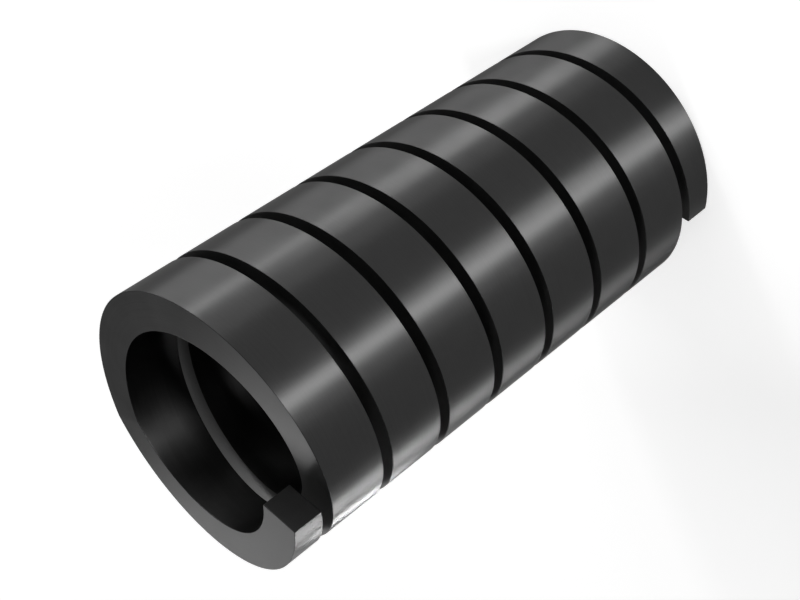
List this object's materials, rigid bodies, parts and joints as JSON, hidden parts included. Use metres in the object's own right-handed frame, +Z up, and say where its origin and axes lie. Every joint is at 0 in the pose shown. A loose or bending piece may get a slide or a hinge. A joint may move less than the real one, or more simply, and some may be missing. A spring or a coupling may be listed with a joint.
{
  "type": "compression spring",
  "caption": "Right-hand compression spring of rectangular wire with an even gap between its turns and both ends ground flat, to work over a guide rod or in a bored hole.",
  "frame": {"origin": "centre of the lower ground end, on the coil's axis", "axes": "+Z up along the coil's axis from the lower ground end to the upper one; the wire's tips lie on the +X side"},
  "size_m": [0.035, 0.035, 0.072],
  "materials": {
    "spring_steel": "satin black"
  },
  "bodies": {
    "root": {"compression_spring": "spring_steel"}
  },
  "joints": []
}
